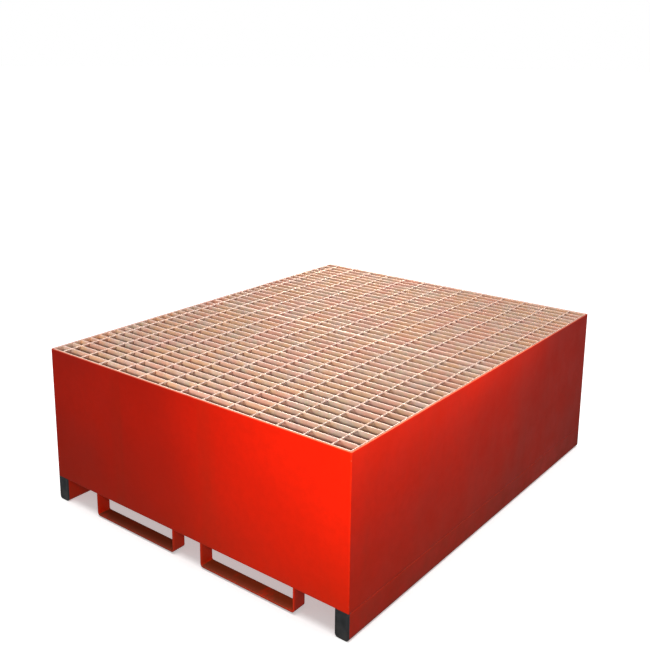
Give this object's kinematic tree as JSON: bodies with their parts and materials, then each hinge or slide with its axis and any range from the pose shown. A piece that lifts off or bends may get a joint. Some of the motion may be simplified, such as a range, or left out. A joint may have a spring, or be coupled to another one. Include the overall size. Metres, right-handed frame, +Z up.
{
  "type": "spill containment pallet",
  "caption": "Red steel sump box on skids with fork stirrups beneath and galvanised lift-out bar gratings flush with its rim, to catch spills from a bulk liquid container.",
  "frame": {"origin": "on the ground under the middle of the sump box", "axes": "+Z up; +X from the left wall to the right wall, along the bearing bars; +Y from the front wall to the back wall, along the skids and the fork pockets"},
  "size_m": [1.33, 1.64, 0.585],
  "materials": {
    "powder_coated_steel": "semi-gloss red powder coat on welded sheet steel",
    "galvanised_steel": "hot-dip galvanised, matt, weathered",
    "cap_plastic": "moulded black plastic, matt"
  },
  "bodies": {
    "root": {"sump_floor": "powder_coated_steel", "front_wall": "powder_coated_steel", "back_wall": "powder_coated_steel", "left_wall": "powder_coated_steel", "right_wall": "powder_coated_steel", "left_skid": "powder_coated_steel", "right_skid": "powder_coated_steel", "front_left_fork_stirrup": "powder_coated_steel", "front_right_fork_stirrup": "powder_coated_steel", "back_left_fork_stirrup": "powder_coated_steel", "back_right_fork_stirrup": "powder_coated_steel", "left_grating_ledge": "powder_coated_steel", "right_grating_ledge": "powder_coated_steel", "front_grating_ledge": "powder_coated_steel", "back_grating_ledge": "powder_coated_steel", "left_support_beam": "powder_coated_steel", "right_support_beam": "powder_coated_steel", "front_left_beam_seat": "powder_coated_steel", "back_left_beam_seat": "powder_coated_steel", "front_right_beam_seat": "powder_coated_steel", "back_right_beam_seat": "powder_coated_steel", "front_left_skid_cap": "cap_plastic", "back_left_skid_cap": "cap_plastic", "front_right_skid_cap": "cap_plastic", "back_right_skid_cap": "cap_plastic"},
    "front_grating": {"front_grating": "galvanised_steel"},
    "back_grating": {"back_grating": "galvanised_steel"}
  },
  "joints": [
    {"name": "front_grating_lift", "type": "slide", "parent": "root", "child": "front_grating", "axis": [0, 0, 1], "range_m": [0, 0.15]},
    {"name": "back_grating_lift", "type": "slide", "parent": "root", "child": "back_grating", "axis": [0, 0, 1], "range_m": [0, 0.15]}
  ]
}
